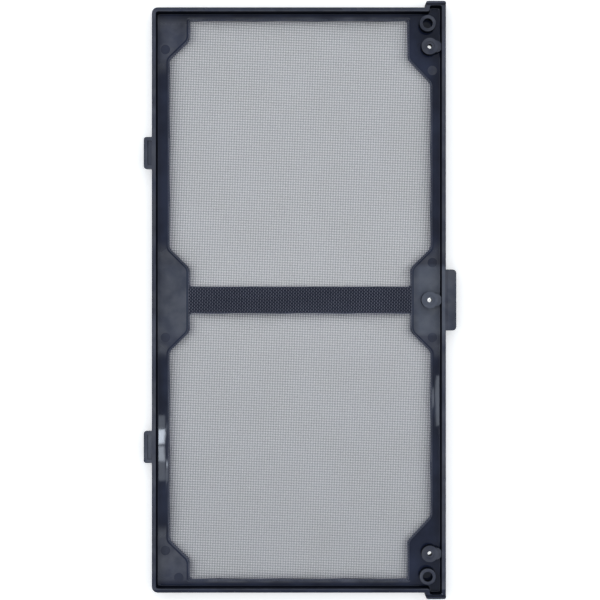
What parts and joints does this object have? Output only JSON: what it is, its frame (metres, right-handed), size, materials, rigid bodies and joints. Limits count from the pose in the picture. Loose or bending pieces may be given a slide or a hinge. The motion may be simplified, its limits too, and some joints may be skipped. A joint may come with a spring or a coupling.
{
  "type": "fan dust filter",
  "caption": "Shallow moulded tray with fine mesh windows that filters intake air, with hook tongues on one edge and a pull tab and magnets on the other.",
  "frame": {"origin": "under the middle of the whole outline, on the plane of the flat outer face that the tray lies on", "axes": "+X from the hook tongues to the pull tab, +Y along the tray, +Z out of the open cavity"},
  "size_m": [0.15, 0.2868, 0.01],
  "materials": {
    "frame_plastic": "satin charcoal moulding with a slight sheen",
    "woven_nylon": "fine plain weave of dark monofilament",
    "nickel_plate": "bright nickel plate"
  },
  "bodies": {
    "root": {"filter_frame": "frame_plastic", "filter_mesh": "woven_nylon", "magnet_upper": "nickel_plate", "magnet_middle": "nickel_plate", "magnet_lower": "nickel_plate"}
  },
  "joints": []
}
